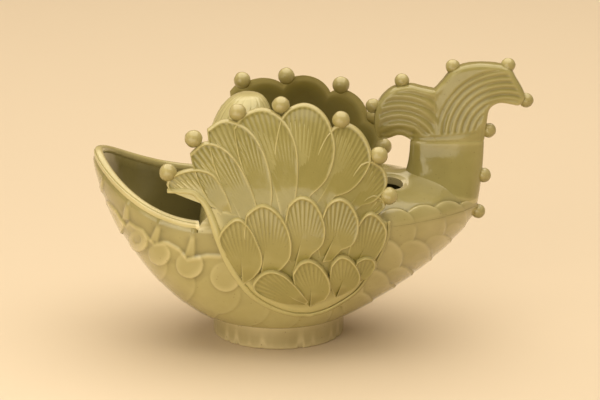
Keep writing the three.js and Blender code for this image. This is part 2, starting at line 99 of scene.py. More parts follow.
plinth_matt = plain_surface("plinth_matt", (0.82, 0.69, 0.54), 0.6)
wall_matt = plain_surface("wall_matt", (0.74, 0.61, 0.47), 0.9)
stage_plane("floor", (0, 0.6, 0), (0, 0, 0), (5, 3), plinth_matt)
stage_plane("wall", (0, 2.1, 1), (math.pi / 2, 0, 0), (5, 3), wall_matt)
soft_light("top_light", (0, 0.05, 0.9), (1.4, 1.2), 10, (1.0, 0.90, 0.72))
soft_light("front_light", (-0.5, -0.9, 0.45), (0.6, 0.5), 2.0, (1.0, 0.88, 0.66))
soft_light("wall_light", (0, 1.2, 1.2), (1.6, 0.5), 4.5, (1.0, 0.88, 0.68))
soft_light("plinth_light", (-0.09, -0.2, 0.004), (0.4, 0.2), 0.4, (1.0, 0.93, 0.76))
bpy.context.object.visible_camera = False
world = bpy.data.worlds.new("room")
world.use_nodes = True
world.node_tree.nodes["Background"].inputs["Color"].default_value = (1.0, 0.86, 0.62, 1)
world.node_tree.nodes["Background"].inputs["Strength"].default_value = 0.3
bpy.context.scene.world = world


# Foot ring
# A ring of clay turned on the wheel and luted under the body. The glaze on it is thin, dull and
# brownish, and its lower edge is a little worn and chipped from standing.
FOOT_HEIGHT = foot_high.z / MM
FOOT_RADIUS = (foot_high.x - foot_low.x) / 2 / MM
FOOT_TAPER = 0.3
FOOT_WALL = 4.0
FOOT_SINK = 1.3
FOOT_CHIP = 0.5
FOOT_SHRINK = 0.25


def pick(piece):
    bpy.ops.object.select_all(action="DESELECT")
    piece.select_set(True)
    bpy.context.view_layer.objects.active = piece


def finish_by(piece, kind, **values):
    """Adds a modifier with these values and applies it."""
    pick(piece)
    step = piece.modifiers.new(kind.lower(), kind)
    for name, value in values.items():
        setattr(step, name, value)
    bpy.ops.object.modifier_apply(modifier=step.name)


def settle(piece):
    """Puts the piece's place, turn and size into its mesh."""
    pick(piece)
    bpy.ops.object.transform_apply(location=True, rotation=True, scale=True)


def points_of(piece, kind="co"):
    values = np.empty(len(piece.data.vertices) * 3)
    piece.data.vertices.foreach_get(kind, values)
    return values.reshape(-1, 3)


def move_points(piece, points):
    piece.data.vertices.foreach_set("co", points.ravel())
    piece.data.update()


def smooth_step(low, high, value):
    share = np.clip((value - low) / (high - low), 0, 1)
    return share * share * (3 - 2 * share)


def lay_glaze(piece, passes, reach, pooled_and_painted_shade=0.0, shown=1.0):
    """Stores how the melted glaze lay, from 0 deep in hollows over 0.5 to 1 thin over ridges."""
    mesh = piece.data
    points = points_of(piece)
    edges = np.empty(len(mesh.edges) * 2, int)
    mesh.edges.foreach_get("vertices", edges)
    a, b = edges.reshape(-1, 2).T
    ends, others = np.concatenate([a, b]), np.concatenate([b, a])
    share = np.maximum(np.bincount(ends, minlength=len(points)), 1)
    smooth = points.copy()
    for _ in range(passes):
        for axis in range(3):
            total = np.bincount(ends, smooth[others, axis], len(points))
            smooth[:, axis] = total / share
    proud = ((points - smooth) * points_of(piece, "normal")).sum(1)
    layer = mesh.attributes.new("thin", "FLOAT", "POINT")
    # The pooled amount darkens the glaze evenly where it is given; on the body's panels it is partly painted shade.
    layer.data.foreach_set("value", np.clip(0.5 + 0.5 * proud / (reach * MM) * shown - pooled_and_painted_shade, 0, 1))


def node(tree, kind, **values):
    made = tree.nodes.new(kind)
    for name, value in values.items():
        setattr(made, name, value)
    return made


def join(tree, start, end):
    tree.links.new(start, end)


def stretch(tree, value, low, high):
    """Turns the stretch from low to high into 0 to 1."""
    made = node(tree, "ShaderNodeMapRange")
    made.inputs["From Min"].default_value = low
    made.inputs["From Max"].default_value = high
    join(tree, value, made.inputs["Value"])
    return made.outputs["Result"]


def blend_colours(tree, share, first, second):
    made = node(tree, "ShaderNodeMix", data_type="RGBA")
    join(tree, share, made.inputs["Factor"])
    join(tree, first, made.inputs["A"])
    join(tree, second, made.inputs["B"])
    return made.outputs["Result"]


# The glaze's colour by how deep it lies, its cloudy drift, its iron specks and its fine ripple.
glaze_flow = bpy.data.node_groups.new("glaze_flow", "ShaderNodeTree")
for name, kind, way in (
    ("Deep", "Color", "INPUT"), ("Middle", "Color", "INPUT"), ("Thin", "Color", "INPUT"),
    ("Iron", "Color", "INPUT"), ("Speck", "Float", "INPUT"), ("Gloss", "Float", "INPUT"),
    ("Color", "Color", "OUTPUT"), ("Roughness", "Float", "OUTPUT"), ("Height", "Float", "OUTPUT"),
):
    glaze_flow.interface.new_socket(name=name, in_out=way, socket_type=f"NodeSocket{kind}")
given = node(glaze_flow, "NodeGroupInput").outputs
result = node(glaze_flow, "NodeGroupOutput").inputs
place = node(glaze_flow, "ShaderNodeTexCoord").outputs["Object"]
lay = node(glaze_flow, "ShaderNodeAttribute", attribute_name="thin").outputs["Fac"]


def cloud(scale, detail):
    made = node(glaze_flow, "ShaderNodeTexNoise")
    made.inputs["Scale"].default_value = scale
    made.inputs["Detail"].default_value = detail
    join(glaze_flow, place, made.inputs["Vector"])
    return made.outputs["Fac"]


def reckon(operation, first, second, third=None):
    made = node(glaze_flow, "ShaderNodeMath", operation=operation)
    for slot, value in zip(made.inputs, (first, second, third)):
        if isinstance(value, (int, float)):
            slot.default_value = value
        elif value is not None:
            join(glaze_flow, value, slot)
    return made.outputs["Value"]


drift = cloud(90, 4)
depth = reckon("ADD", lay, reckon("MULTIPLY_ADD", drift, 0.30, -0.15))
over_hollows = blend_colours(glaze_flow, stretch(glaze_flow, depth, 0.5, 0.12), given["Middle"], given["Deep"])
over_ridges = blend_colours(glaze_flow, stretch(glaze_flow, depth, 0.52, 0.92), over_hollows, given["Thin"])
spots = node(glaze_flow, "ShaderNodeTexVoronoi", feature="F1")
spots.inputs["Scale"].default_value = 420
join(glaze_flow, place, spots.inputs["Vector"])
spot_mask = reckon("MULTIPLY", stretch(glaze_flow, spots.outputs["Distance"], 0.11, 0.04), given["Speck"])
join(glaze_flow, blend_colours(glaze_flow, spot_mask, over_ridges, given["Iron"]), result["Color"])
join(glaze_flow, reckon("MULTIPLY_ADD", drift, 0.10, given["Gloss"]), result["Roughness"])
join(glaze_flow, cloud(380, 2), result["Height"])


def glaze(name, deep, middle, thin, speck=0.5, gloss=0.12, coat=0.4, ripple=0.2):
    """Fired glaze with its own colours where it is deep, middling and thin."""
    material = bpy.data.materials.new(name)
    material.use_nodes = True
    tree = material.node_tree
    shader = tree.nodes["Principled BSDF"]
    flow = node(tree, "ShaderNodeGroup", node_tree=glaze_flow)
    for socket, colour in (("Deep", deep), ("Middle", middle), ("Thin", thin), ("Iron", (0.13, 0.08, 0.03))):
        flow.inputs[socket].default_value = (*colour, 1)
    flow.inputs["Speck"].default_value = speck
    flow.inputs["Gloss"].default_value = gloss
    bump = node(tree, "ShaderNodeBump")
    bump.inputs["Distance"].default_value = ripple * MM
    bump.inputs["Strength"].default_value = 0.6
    join(tree, flow.outputs["Height"], bump.inputs["Height"])
    join(tree, flow.outputs["Color"], shader.inputs["Base Color"])
    join(tree, flow.outputs["Roughness"], shader.inputs["Roughness"])
    join(tree, bump.outputs["Normal"], shader.inputs["Normal"])
    shader.inputs["Coat Weight"].default_value = coat
    shader.inputs["Coat Roughness"].default_value = 0.06
    shader.inputs["IOR"].default_value = 1.52
    return material


def hand_over(piece, material, slot, *nodes):
    """Gives a finished piece its glaze and its place in the frame."""
    piece.data.materials.append(material)
    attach(piece, "root")
    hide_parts(*nodes)


foot_glaze = glaze(
    "foot_glaze", (0.14, 0.11, 0.04), (0.36, 0.29, 0.13), (0.55, 0.46, 0.25), 0.7, 0.34, 0.15, 0.3)
bpy.ops.mesh.primitive_cylinder_add(
    vertices=160, radius=(FOOT_RADIUS + FOOT_SHRINK) * MM, depth=(FOOT_HEIGHT + FOOT_SINK) * MM, end_fill_type="NOTHING",
    location=(FOOT_X, 0, (FOOT_HEIGHT + FOOT_SINK) / 2 * MM))
foot = bpy.context.object
foot.name = "foot_ring_turned"
settle(foot)
for vertex in foot.data.vertices:
    vertex.select = vertex.co.z > FOOT_HEIGHT / 2 * MM
bpy.ops.object.mode_set(mode="EDIT")
top_share = 1 - FOOT_TAPER / (FOOT_RADIUS + FOOT_SHRINK)
bpy.ops.transform.resize(value=(top_share, top_share, 1), center_override=(FOOT_X, 0, 0))
bpy.ops.mesh.select_all(action="SELECT")
bpy.ops.mesh.subdivide(number_cuts=1)
bpy.ops.object.mode_set(mode="OBJECT")
finish_by(foot, "SOLIDIFY", thickness=FOOT_WALL * MM, offset=-1)
finish_by(foot, "BEVEL", width=0.7 * MM, segments=3, limit_method="ANGLE")
finish_by(foot, "SUBSURF", levels=1, render_levels=1)
ring = points_of(foot)
turn = np.arctan2(ring[:, 1], ring[:, 0] - FOOT_X)
chipped = np.clip(np.sin(7 * turn + 1) * np.sin(17 * turn) + 0.6 * np.sin(31 * turn + 2), 0, 1) ** 3
worn = chipped * smooth_step(1.6 * MM, 0.4 * MM, ring[:, 2])
outward = np.stack([np.cos(turn), np.sin(turn), 0 * turn], 1)
outside = np.hypot(ring[:, 0] - FOOT_X, ring[:, 1]) > (FOOT_RADIUS - FOOT_WALL / 2) * MM
move_points(foot, ring - outward * (worn * outside * FOOT_CHIP * MM)[:, None])
pick(foot)
bpy.ops.object.shade_smooth_by_angle(angle=math.radians(40))
lay_glaze(foot, 6, 0.1)
hand_over(foot, foot_glaze, "foot_clay", "foot_ring")


# Body
# A bowl pressed and drawn out by hand to a mouth and to a tail. While the clay is leather-hard its
# outside is carved with rows of round scales, and the mouth gets a band of tongues under the lip.
JOINT = 0.3
MOUTH_REACH = 60.8
TAIL_REACH = 65.4
BODY_HALF_WIDTH = 36.0
FRONT_CENTRE = -20.0
REAR_CENTRE = 2.0
MOUTH_POINT = 0.6
TAIL_POINT = 0.75
BODY_WALL = 3.2
WALL_TUCK = 0.9
SIDE_FULLNESS = 1.62
MOUTH_FULLNESS = 1.48
TAIL_FULLNESS = 1.3
RIM_HEIGHT = 47.2
TIP_RISE = 15.5
TIP_POWER = 2.3
LIP_HEIGHT = 3.2
COVER_FRONT = -25.5
SIDE_EDGE = RIM_HEIGHT - LIP_HEIGHT - JOINT
BODY_BOTTOM = FOOT_HEIGHT + JOINT
REAR_STRETCH = 0.5
SIDE_STRETCH = 0.1

# The carving is laid out in the plane of the side view, where a point on the far or near side
# counts as lower by this share of its distance from the middle. A scale is its middle and radius.
PATTERN_TILT = math.tan(VIEW_HEIGHT)
REAR_SCALES = [
    (62, 40.2, 4.2), (55.1, 37.8, 6.4), (46.9, 35.8, 7.1), (37.3, 34.8, 6.9), (28.5, 34.1, 6.9),
    (58, 32.7, 4.5), (52.1, 27.6, 5.6), (43.6, 25.5, 6.0), (33.7, 25.5, 6.2), (24.5, 23.5, 6.0),
    (47.9, 20.8, 4.6), (39.3, 17, 5.4), (30.4, 16, 5.6), (21.9, 14.3, 5.5),
    (35, 12.2, 4.5), (25.8, 9.1, 5.0),
]
BELLY_SCALES = [
    (16, 3.0, 7), (5.5, 2.0, 7), (-5, 2.5, 7), (-15, 5.5, 7), (-25, 10.5, 7), (-33.5, 16.5, 7),
    (-41.5, 22.5, 6), (10.5, 8.5, 7), (0.5, 8.0, 7), (-9.5, 9.5, 7), (-19, 13.5, 7),
]
FRONT_SCALES = [
    (-54.7, 37.2, 5.2), (-16.6, 19.3, 4.9), (-28.1, 23.3, 4.4), (-37.9, 26.7, 3.6), (-45.1, 30.9, 3.4),
]
EYE_PIT = (-45.2, 31.7, 1.5)
BAND_EDGE = [
    (-57.4, 43.4), (-55, 43.2), (-52.4, 40.6), (-50.7, 37.9), (-49, 35.6), (-47.8, 36.7), (-45.5, 35.1),
    (-43.2, 34.1), (-41.5, 31.7), (-39.4, 29.6), (-36.5, 30.2), (-35, 30), (-31.4, 27.9), (-28.8, 24.7),
    (-25.8, 25.2), (-22.5, 25.9), (-16, 25.6),
]
BAND_REAR = -17.5
BAND_LINE = 0.18
PANEL_DEPTH = 0.25
TONGUES = [
    (-56, 53.9, -58.3, 47.4), (-48.4, 43.7, -49.1, 38.2), (-37.3, 38.2, -39.6, 31),
    (-26.8, 33.4, -28.1, 25.9),
]
TONGUE_HALF_WIDTHS = (0.8, 1.15, 1.3, 1.6)


def metres(points):
    return np.asarray(points, float) * MM + (FOOT_X, 0, 0)


def plan_half(x, inset=0.0):
    """Half-width of the body's plan at the rim."""
    rear = np.clip((x - REAR_CENTRE) / (TAIL_REACH - REAR_CENTRE - inset), 0, 1)
    front = np.clip((FRONT_CENTRE - x) / (MOUTH_REACH + FRONT_CENTRE - inset), 0, 1)
    return (BODY_HALF_WIDTH - inset) * (1 - rear**2) ** TAIL_POINT * (1 - front**2) ** MOUTH_POINT


def plan_x(turn, inset=0.0):
    """The outline runs from 0 at the tail over 1 at the mouth back to 2."""
    u = np.where(turn <= 1, turn, 2 - turn)
    rear = np.cos(np.clip(u / REAR_STRETCH, 0, 1) * math.pi / 2)
    side = np.clip((u - REAR_STRETCH) / SIDE_STRETCH, 0, 1)
    ahead = (u - REAR_STRETCH - SIDE_STRETCH) / (1 - REAR_STRETCH - SIDE_STRETCH)
    front = np.sin(np.clip(ahead, 0, 1) * math.pi / 2)
    return (REAR_CENTRE + (TAIL_REACH - REAR_CENTRE - inset) * rear + (FRONT_CENTRE - REAR_CENTRE) * side
            - (MOUTH_REACH + FRONT_CENTRE - inset) * front)


def rim_height(x):
    return RIM_HEIGHT + TIP_RISE * np.clip((FRONT_CENTRE - x) / (MOUTH_REACH + FRONT_CENTRE), 0, 1) ** TIP_POWER


def edge_height(x):
    return rim_height(x) - LIP_HEIGHT - JOINT


def body_point(turn, up, inset=0.0):
    """Point of the body's wall, where up runs from 0 at the foot to 1 at the edge."""
    x = plan_x(turn, inset)
    y = plan_half(x, inset) * np.where(turn <= 1, 1, -1)
    reach = np.hypot(x, y)
    end = np.where(x > 0, TAIL_FULLNESS, MOUTH_FULLNESS)
    fullness = SIDE_FULLNESS + (end - SIDE_FULLNESS) * (x / reach) ** 2
    out = (1 - (1 - up) ** fullness) ** (1 / fullness)
    grow = (FOOT_RADIUS - FOOT_TAPER - inset) / reach * (1 - out) + out
    z = (BODY_BOTTOM + inset) * (1 - up) + edge_height(plan_x(turn)) * up
    return np.stack([x * grow, y * grow, z + 0 * x], -1)


def press_scale(height, x, tall, scale, face, lean):
    """Lays one round scale over the relief so far. It leans, so that one side of its edge is proud."""
    dx = (x - scale[0]) / scale[2]
    dz = (tall - scale[1]) / scale[2]
    over = smooth_step(1.05, 0.96, np.hypot(dx, dz))
    return height * (1 - over) + np.maximum(face + lean[0] * dx + lean[1] * dz, 0.05) * over


def press_tongue(height, x, tall, x1, z1, x2, z2, half_width):
    """Adds a raised tongue that swells from its upper to its lower end."""
    length = math.hypot(x2 - x1, z2 - z1)
    along = ((x - x1) * (x2 - x1) + (tall - z1) * (z2 - z1)) / length**2
    across = ((x - x1) * (z2 - z1) - (tall - z1) * (x2 - x1)) / length
    wide = half_width * (0.4 + 0.8 * np.clip(along, 0, 1))
    rise = smooth_step(1.15, 0.55, np.abs(across) / wide)
    return height + 0.4 * rise * smooth_step(-0.6, 0.0, along) * smooth_step(1.12, 0.92, along)


def panel_share(x, tall):
    """Where the sunken panels under the lip lie, and where the fine line along their lower edge."""
    over = (tall - np.interp(x, *np.array(BAND_EDGE).T)) * 0.7
    fore = smooth_step(BAND_REAR + 1, BAND_REAR - 1, x)
    return fore * smooth_step(0.3, 0.9, over), fore * np.exp(-((over / 0.4) ** 2))


def side_view(points):
    return points[..., 0], points[..., 2] - PATTERN_TILT * np.abs(points[..., 1])


def carving(points):
    """Height of the carved relief at points of the body or the cover."""
    x, tall = side_view(points)
    height = np.zeros_like(x)
    for scale in BELLY_SCALES:
        height = press_scale(height, x, tall, scale, 0.2, (0.06, -0.14))
    for scale in REAR_SCALES:
        height = press_scale(height, x, tall, scale, 0.5, (0.16, 0.2))
    for scale in FRONT_SCALES:
        height = press_scale(height, x, tall, scale, 0.36, (0.04, -0.26))
    height = press_scale(height, x, tall, EYE_PIT, 0.12, (0.0, 0.0))
    panels, line = panel_share(x, tall)
    height = height * (1 - panels) - PANEL_DEPTH * panels + BAND_LINE * line
    for tongue, half_width in zip(TONGUES, TONGUE_HALF_WIDTHS):
        height = press_tongue(height, x, tall, *tongue, half_width)
    return height


def outward_of(rings):
    """Unit normals of a surface given by closed rings."""
    along = np.roll(rings, -1, 1) - np.roll(rings, 1, 1)
    up = np.gradient(rings, axis=0)
    normal = np.cross(along, up)
    normal /= np.maximum(np.linalg.norm(normal, axis=-1, keepdims=True), 1e-9)
    middle = rings.reshape(-1, 3).mean(0)
    return normal if ((rings - middle) * normal).sum() > 0 else -normal


def skin(name, rings):
    """Closed piece through rings of equal point counts, with a fan over each end."""
    rings = np.asarray(rings, float)
    rows, count = rings.shape[:2]
    points = np.concatenate([rings.reshape(-1, 3), rings[:1].mean(1), rings[-1:].mean(1)])
    start = np.arange(count)
    after = (start + 1) % count
    quads = [np.stack([start, after, after + count, start + count], 1) + r * count for r in range(rows - 1)]
    first, end = rows * count, (rows - 1) * count
    fans = [(first, b, a) for a, b in zip(start, after)]
    fans += [(first + 1, end + a, end + b) for a, b in zip(start, after)]
    mesh = bpy.data.meshes.new(name)
    mesh.from_pydata(metres(points).tolist(), [], np.concatenate(quads).tolist() + fans)
    piece = bpy.data.objects.new(name, mesh)
    bpy.context.collection.objects.link(piece)
    pick(piece)
    bpy.ops.object.mode_set(mode="EDIT")
    bpy.ops.mesh.select_all(action="SELECT")
    bpy.ops.mesh.remove_doubles(threshold=1e-6)
    bpy.ops.mesh.normals_make_consistent(inside=False)
    bpy.ops.object.mode_set(mode="OBJECT")
    return piece


def round_off(piece, degrees=40):
    pick(piece)
    bpy.ops.object.shade_smooth_by_angle(angle=math.radians(degrees))


body_glaze = glaze("body_glaze", (0.20, 0.17, 0.06), (0.41, 0.355, 0.145), (0.64, 0.56, 0.30))
turns = np.linspace(0, 2, 760, endpoint=False)
levels = 1 - np.cos(np.linspace(0, 1, 116) * math.pi / 2) ** (2 / SIDE_FULLNESS)
outside = np.stack([body_point(turns, up) for up in levels])
relief = carving(outside) * smooth_step(0.0, 0.05, levels)[:, None]
outside = outside + outward_of(outside) * relief[..., None]
outside[-1, :, 2] += JOINT / 2
tucked = body_point(turns, 1.0, WALL_TUCK)
tucked[:, 2] += np.where(outside[-1, :, 0] < COVER_FRONT, LIP_HEIGHT / 2, JOINT / 2)
inside = np.stack([body_point(turns, up, BODY_WALL) for up in levels[::-11]])
inside[0, :, 2] = tucked[:, 2]
outside = np.concatenate([outside, tucked[None]])
body = skin("body_carved", np.concatenate([outside, inside]))
round_off(body)
places = (points_of(body) - (FOOT_X, 0, 0)) / MM
# The sunken panels under the lip get an evenly darker glaze: partly glaze pooled in them, partly painted shade under
# the lip.
panels, _ = panel_share(*side_view(places))
lay_glaze(body, 14, 0.4, 0.14 * panels, smooth_step(0.5, 2.5, edge_height(places[:, 0]) - places[:, 2]))
hand_over(body, body_glaze, "celadon_glaze", "body_bowl")


# Lip
# A rolled coil of clay laid along the edge of the mouth. A groove parts a fine bead along its top
# from the round band outside; the glaze runs thin over both, and its colours are painted paler as a highlight.
LIP_WIDTH = 3.0
LIP_INSET = 2.0
LIP_FOCUS = -36.0
LIP_GROOVE = 0.16
LIP_GROOVE_TURN = 0.65

# Paler colours than the body's: thin glaze over the coil, plus a painted highlight along the lip.
thin_and_highlit_lip_glaze = glaze("thin_and_highlit_lip_glaze", (0.26, 0.22, 0.08), (0.52, 0.45, 0.20), (0.82, 0.73, 0.44))
share = (FRONT_CENTRE - COVER_FRONT) / (MOUTH_REACH + FRONT_CENTRE)
lip_start = 1 - (1 - REAR_STRETCH - SIDE_STRETCH) * (1 - math.asin(share) / (math.pi / 2))
lip_turns = np.linspace(lip_start, 2 - lip_start, 300)[:, None]
x = plan_x(lip_turns, LIP_INSET)
y = plan_half(x, LIP_INSET) * np.where(lip_turns <= 1, 1, -1)
out_x, out_y = x - LIP_FOCUS, y
reach = np.hypot(out_x, out_y)
angle = np.linspace(0, 2 * math.pi, 64, endpoint=False)
swell = 1 - LIP_GROOVE * np.exp(-(((angle - LIP_GROOVE_TURN) / 0.17) ** 2))
across = LIP_WIDTH / 2 * np.sign(np.cos(angle)) * np.abs(np.cos(angle)) ** 0.8 * swell
rise = LIP_HEIGHT / 2 * np.sign(np.sin(angle)) * np.abs(np.sin(angle)) ** 0.9 * swell
z = rim_height(plan_x(lip_turns)) - (LIP_HEIGHT - JOINT) / 2
lip = skin("lip_rolled", np.stack([x + out_x / reach * across, y + out_y / reach * across, z + rise], -1))
round_off(lip, 60)
lay_glaze(lip, 7, 0.16)
hand_over(lip, thin_and_highlit_lip_glaze, "celadon_glaze", "mouth_lip")


# Cover
# A pressed dome that closes the vessel behind the mouth. The upper halves of the rear scales run
# over its seam, and the hole for filling it is pierced in its back, close by the left wing.
COVER_CENTRE = 18.0
COVER_RISE = 11.3
COVER_WALL = 3.0
COVER_POWER = 2.2
FILL_HOLE_RADIUS = 5.0
FILL_HOLE = (35.6, -9.0)
FILL_HOLE_ROUNDING = 0.9
HOOD_X = -12.6
HOOD_HALF_LENGTH = 11.8
HOOD_HALF_WIDTH = 16.0
HOOD_WALL = 2.6
STEM_FRONT = 43.3
STEM_REAR = 67.2
STEM_THICKNESS = 14.0
STEM_FILLET = 8.0
STEM_FILLET_RISE = 1.6


def cover_reach(angle, inset):
    near = np.zeros_like(angle)
    far = np.full_like(angle, TAIL_REACH + BODY_HALF_WIDTH)
    for _ in range(30):
        r = (near + far) / 2
        x = COVER_CENTRE + r * np.cos(angle)
        closed = (x > COVER_FRONT + inset) & (np.abs(r * np.sin(angle)) < plan_half(x, inset))
        near, far = np.where(closed, r, near), np.where(closed, far, r)
    return near


def dome(reach, angle, x, base, rise, power, steps, lean=0.0):
    """Rings of a dome from its base up to its crown."""
    tilt = (np.linspace(0, 0.99, steps) * math.pi / 2)[:, None]
    across = np.cos(tilt) ** (2 / power)
    up = np.sin(tilt) ** (2 / power)
    r = reach * across
    return np.stack([x + lean * up**3 + r * np.cos(angle), r * np.sin(angle), base + rise * up + 0 * r], -1)


def cut_out(piece, cutter):
    finish_by(piece, "BOOLEAN", operation="DIFFERENCE", solver="EXACT", object=cutter)
    bpy.data.objects.remove(cutter)


def cutting_cylinder(x, y, half_length, half_width, low, high):
    place = ((x * MM + FOOT_X), y * MM, (low + high) / 2 * MM)
    bpy.ops.mesh.primitive_cylinder_add(vertices=96, radius=1, depth=(high - low) * MM, location=place)
    cutter = bpy.context.object
    cutter.scale = (half_length * MM, half_width * MM, 1)
    settle(cutter)
    return cutter


angles = np.linspace(0, 2 * math.pi, 560, endpoint=False)
vault = dome(
    cover_reach(angles, 0), angles, COVER_CENTRE, SIDE_EDGE + JOINT / 2, COVER_RISE + JOINT / 2, COVER_POWER, 90)
vault = vault + outward_of(vault) * carving(vault)[..., None]
stem_middle = (STEM_FRONT + STEM_REAR) / 2
stem_share = np.hypot((vault[..., 0] - stem_middle) / (STEM_REAR - STEM_FRONT), vault[..., 1] / STEM_THICKNESS) * 2
from_stem = np.clip((stem_share - 1) * STEM_THICKNESS / 2, 0, STEM_FILLET)
vault[..., 2] += (1 - from_stem / STEM_FILLET) ** 3 * STEM_FILLET_RISE * smooth_step(46, 51, vault[..., 2])
from_hole = np.hypot(vault[..., 0] - FILL_HOLE[0], vault[..., 1] - FILL_HOLE[1]) - FILL_HOLE_RADIUS
vault[..., 2] -= 0.8 * np.exp(-np.clip(from_hole / FILL_HOLE_ROUNDING, 0, None) ** 2)
hollow = dome(
    cover_reach(angles, COVER_WALL), angles, COVER_CENTRE, SIDE_EDGE + JOINT / 2,
    COVER_RISE - COVER_WALL, COVER_POWER, 24)
cover = skin("cover_domed", np.concatenate([hollow[::-1], vault]))
cut_out(cover, cutting_cylinder(*FILL_HOLE, FILL_HOLE_RADIUS, FILL_HOLE_RADIUS, 40, 70))
cut_out(cover, cutting_cylinder(
    HOOD_X, 0, HOOD_HALF_LENGTH - 2 * HOOD_WALL, HOOD_HALF_WIDTH - 2 * HOOD_WALL, 40, 70))
round_off(cover)
seam = smooth_step(0.5, 2.5, points_of(cover)[:, 2] / MM - SIDE_EDGE)
lay_glaze(cover, 14, 0.4, shown=seam)
hand_over(cover, body_glaze, "celadon_glaze", "back_cover")


# Hood
# A hollow upright hood between the wings, pressed in a mould with broad ribs up its sides, and
# leaning back a little. Its glaze colours are the palest on the vessel, a lit copy of the celadon glaze: painted
# light.
HOOD_BOTTOM = 46.0
HOOD_TOP = 80.9
HOOD_POWER = 2.8
HOOD_LEAN = 3.0
HOOD_RIBS = 18
HOOD_RIB_DEPTH = 0.03


def hood_reach(angle, inset):
    long = np.cos(angle) / (HOOD_HALF_LENGTH - inset)
    wide = np.sin(angle) / (HOOD_HALF_WIDTH - inset)
    return 1 / np.hypot(long, wide)


# Paler copy of the celadon glaze: painted light on the hood.
lit_hood_glaze = glaze("lit_hood_glaze", (0.34, 0.30, 0.11), (0.58, 0.52, 0.24), (0.80, 0.72, 0.42), speck=0.2)
angles = np.linspace(0, 2 * math.pi, 432, endpoint=False)
ribbed = hood_reach(angles, 0) * (1 - HOOD_RIB_DEPTH * (1 - np.abs(np.sin(angles * HOOD_RIBS / 2))) ** 2)
height = HOOD_TOP - HOOD_BOTTOM
shell = dome(ribbed, angles, HOOD_X, HOOD_BOTTOM, height, HOOD_POWER, 90, HOOD_LEAN)
hollow = dome(
    hood_reach(angles, HOOD_WALL), angles, HOOD_X, HOOD_BOTTOM, height - HOOD_WALL, HOOD_POWER, 30, HOOD_LEAN)
hood = skin("hood_ribbed", np.concatenate([hollow[::-1], shell]))
round_off(hood)
lay_glaze(hood, 12, 0.2)
hand_over(hood, lit_hood_glaze, "celadon_glaze", "hood")


# Tail stem
# A solid root of clay that grows out of the cover's rear end and carries the tail. It is thick
# below and thins to the tail's plate.
STEM_TOP = 65.2
STEM_OVERHANG = 1.8
STEM_HEIGHT = 21.5
STEM_FLARE = 2.6
FLARE_HEIGHT = 4.5
FLARE_BASE = 49.3
FLARE_SLOPE = 3.5
STEM_SQUARE = 0.7
STEM_TUCK = 2.6
FIN_THICKNESS = 7.2

# Darker copy of the celadon glaze: painted shade on the tail stem and lobes.
shaded_tail_glaze = glaze("shaded_tail_glaze", (0.15, 0.13, 0.04), (0.34, 0.295, 0.10), (0.56, 0.49, 0.22))
stem_z = np.linspace(SIDE_EDGE + 1, STEM_TOP + STEM_TUCK, 90)[:, None]
below = np.minimum(stem_z, STEM_TOP)
rear = STEM_REAR - STEM_OVERHANG * ((STEM_TOP - below) / STEM_HEIGHT) ** 2
angle = np.linspace(0, 2 * math.pi, 240, endpoint=False)
over_cover = stem_z - FLARE_BASE + FLARE_SLOPE * np.cos(angle)
flare = STEM_FLARE * np.exp(-np.clip(over_cover, 0, None) / FLARE_HEIGHT)
up = smooth_step(SIDE_EDGE + 3, STEM_TOP - 2, stem_z)
thick = STEM_THICKNESS / 2 * (1 - up) + (FIN_THICKNESS / 2 + 0.08) * up + flare
front = STEM_FRONT - flare
tuck = smooth_step(STEM_TOP - 0.8, STEM_TOP + STEM_TUCK, stem_z)
rear, front, thick = rear - tuck * 1.6, front + tuck * 1.6, thick - tuck * 1.2
square = 1 - (1 - STEM_SQUARE) * up**2
along = np.sign(np.cos(angle)) * np.abs(np.cos(angle)) ** square
across = np.sign(np.sin(angle)) * np.abs(np.sin(angle)) ** square
stem = skin("tail_stem_modelled", np.stack(
    [(rear + front) / 2 + (rear - front) / 2 * along, thick * across, stem_z + 0 * angle], -1))
round_off(stem, 60)
lay_glaze(stem, 12, 0.2)
hand_over(stem, shaded_tail_glaze, "celadon_glaze", "tail_stem")


# Tail lobes
# Two flat lobes cut from a slab and raked with a comb while wet: round grooves run over the front
# lobe, and curved ridges over the rear one inside its smooth border. A valley lies between them.
FIN_BOTTOM = STEM_TOP + JOINT
FIN_SPLIT = 50.8
FIN_OVERLAP = 0.4
FIN_ROOT = 3.0
FIN_GRAIN = 0.4
FIN_EDGE = 1.9
FRONT_LOBE = [
    (43.3, 65.5), (41.4, 66.6), (39.2, 67.2), (36.4, 66.2), (33.4, 65.9), (31.6, 68.5), (31.4, 74),
    (32.9, 78.8), (37, 82.8), (42.5, 84), (47, 83.1), (50.8, 82.3),
]
REAR_LOBE = [
    (50.8, 82.3), (53.2, 85), (56.5, 88.9), (62, 90.9), (69.5, 91), (75, 89.6), (77.4, 86), (79.6, 82.2),
    (80.3, 79.6), (78.4, 77.2), (75, 77.6), (71.8, 77.9), (68.9, 76), (68, 71.5), (67.2, 65.5),
]
FRONT_RAKE = (39.3, 61.9, 3.2, 4.5, 30)
REAR_RAKE = (73.9, 67.2, 2.07, 9.9, 22.3)
FRONT_RAKE_DEPTH = 0.42
REAR_RAKE_DEPTH = 0.5
VALLEY_X = 52.3
VALLEY_HALF_WIDTH = 2.8
VALLEY_DEPTH = 0.7
INCISION = [(43, 66.6), (53.1, 66.9), (60, 67.7), (65.6, 68.6)]
INCISION_DEPTH = 0.2


def smooth_line(corners, steps=10):
    """Points of a round line through the corners."""
    c = np.asarray(corners, float)
    c = np.concatenate([c[:1], c, c[-1:]])
    t = np.linspace(0, 1, steps, endpoint=False)[:, None]
    spans = [
        0.5 * (2 * b + (d - a) * t + (2 * a - 5 * b + 4 * d - e) * t**2 + (3 * b - a - 3 * d + e) * t**3)
        for a, b, d, e in zip(c, c[1:], c[2:], c[3:])
    ]
    return np.concatenate(spans + [c[-1:]])


